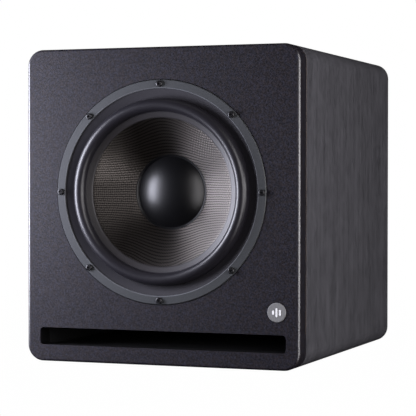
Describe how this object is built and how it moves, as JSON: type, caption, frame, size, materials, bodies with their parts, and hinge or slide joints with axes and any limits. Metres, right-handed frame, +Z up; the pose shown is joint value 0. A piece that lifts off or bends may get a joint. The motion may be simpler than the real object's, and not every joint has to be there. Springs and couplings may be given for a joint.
{
  "type": "subwoofer cabinet",
  "caption": "Active slot-ported subwoofer cabinet with a woven-cone driver in a thick rounded baffle, a wrapped box and a rear plate amplifier",
  "frame": {"origin": "centre of the overall box, on the surface that the feet stand on", "axes": "+X to the right seen from the front, +Y from the front baffle to the back, +Z up"},
  "size_m": [0.35, 0.43, 0.385],
  "materials": {
    "baffle_paint": "fine textured dark grey lacquer on fibreboard",
    "fibreboard": "raw medium-density fibreboard",
    "rear_board": "black sprayed fibreboard",
    "vinyl": "embossed dark grey vinyl",
    "damping_foam": "open-cell egg-crate foam",
    "rubber": "black moulded rubber",
    "surround_rubber": "glossy black moulded rubber",
    "gasket_foam": "closed-cell black foam",
    "ring_card": "matte black pressed fibre",
    "frame_paint": "satin dark grey powder coat on cast metal",
    "black_screw": "black oxide steel",
    "woven_cone": "coated woven glass fibre, satin",
    "cap_plastic": "satin black moulded plastic",
    "aluminium_foil": "bare foil",
    "copper_winding": "enamelled winding",
    "spider_cloth": "resin-dipped woven cloth",
    "motor_steel": "zinc-plated steel",
    "ferrite": "sintered ferrite",
    "black_plastic": "moulded black plastic",
    "tinsel": "braided tinsel",
    "cable_jacket": "soft two-core cable jacket",
    "plate_paint": "fine textured black powder coat on aluminium",
    "heatsink_metal": "black anodised extrusion",
    "circuit_board": "green solder-mask laminate",
    "capacitor_sleeve": "dark blue shrink sleeve",
    "transformer_tape": "yellow polyester tape over copper winding",
    "bright_screw": "zinc-plated steel",
    "knob_plastic": "moulded knob",
    "shaft_metal": "turned aluminium",
    "connector_metal": "black-plated die-cast connector shell",
    "rca_metal": "nickel plate",
    "latch_metal": "stamped steel tab",
    "badge_metal": "satin lacquered aluminium",
    "badge_print": "white enamel",
    "led_lens": "blue diffused lens"
  },
  "bodies": {
    "cabinet": {"front_baffle": "baffle_paint", "left_side_panel": "fibreboard", "right_side_panel": "fibreboard", "top_panel": "fibreboard", "bottom_panel": "fibreboard", "rear_panel": "rear_board", "port_shelf": "fibreboard", "window_brace": "fibreboard", "vinyl_wrap": "vinyl", "acoustic_lining": "damping_foam", "rubber_feet": "rubber", "foot_screws": "bright_screw", "badge_disc": "badge_metal", "badge_mark": "badge_print", "driver_frame": "frame_paint", "driver_gasket": "gasket_foam", "driver_screws": "black_screw", "surround_gasket": "ring_card", "surround": "surround_rubber", "spider": "spider_cloth", "top_plate": "motor_steel", "magnet": "ferrite", "pole_piece": "motor_steel", "magnet_boot": "rubber", "terminal_block": "black_plastic", "tinsel_leads": "tinsel", "speaker_lead": "cable_jacket", "lead_clip": "black_plastic", "lead_grommet": "rubber", "amp_chamber": "fibreboard", "amp_plate": "plate_paint", "amp_gasket": "gasket_foam", "amp_screws": "black_screw", "heatsink": "heatsink_metal", "main_board": "circuit_board", "reservoir_capacitors": "capacitor_sleeve", "transformer": "transformer_tape", "transformer_bolt": "bright_screw", "mains_inlet": "black_plastic", "power_switch_body": "black_plastic", "volume_pot": "motor_steel", "crossover_pot": "motor_steel", "phase_switch_body": "black_plastic", "power_led": "led_lens", "xlr_inputs": "connector_metal", "xlr_outputs": "connector_metal", "rca_inputs": "rca_metal"},
    "cone_body": {"cone": "woven_cone", "dust_cap": "cap_plastic", "voice_coil_former": "aluminium_foil", "voice_coil": "copper_winding"},
    "volume_body": {"volume_shaft": "shaft_metal", "volume_knob": "knob_plastic"},
    "crossover_body": {"crossover_shaft": "shaft_metal", "crossover_knob": "knob_plastic"},
    "rocker_body": {"power_rocker": "black_plastic"},
    "slider_body": {"phase_slider": "black_plastic"},
    "drawer_body": {"fuse_drawer": "black_plastic"},
    "latch_left_body": {"latch_tab_left": "latch_metal"},
    "latch_right_body": {"latch_tab_right": "latch_metal"}
  },
  "joints": [
    {"name": "cone_stroke", "type": "slide", "parent": "cabinet", "child": "cone_body", "axis": [0, -1, 0], "range_m": [-0.008, 0.008], "stiffness_N_per_m": 1800, "deforming": ["surround", "spider", "tinsel_leads"]},
    {"name": "volume_turn", "type": "hinge", "parent": "cabinet", "child": "volume_body", "pos_m": [0.08, 0.19305, 0.227], "axis": [0, -1, 0], "range_deg": [-150, 150]},
    {"name": "crossover_turn", "type": "hinge", "parent": "cabinet", "child": "crossover_body", "pos_m": [0.04, 0.19305, 0.227], "axis": [0, -1, 0], "range_deg": [-150, 150]},
    {"name": "power_switch", "type": "hinge", "parent": "cabinet", "child": "rocker_body", "pos_m": [-0.086, 0.18905, 0.123], "axis": [-1, 0, 0], "range_deg": [0, 22]},
    {"name": "phase_switch", "type": "slide", "parent": "cabinet", "child": "slider_body", "axis": [-1, 0, 0], "range_m": [0, 0.0046]},
    {"name": "fuse_drawer_slide", "type": "slide", "parent": "cabinet", "child": "drawer_body", "axis": [0, 1, 0], "range_m": [0, 0.018]},
    {"name": "latch_left_press", "type": "slide", "parent": "cabinet", "child": "latch_left_body", "axis": [0, -1, 0], "range_m": [0, 0.002], "stiffness_N_per_m": 400},
    {"name": "latch_right_press", "type": "slide", "parent": "cabinet", "child": "latch_right_body", "axis": [0, -1, 0], "range_m": [0, 0.002], "stiffness_N_per_m": 400}
  ]
}
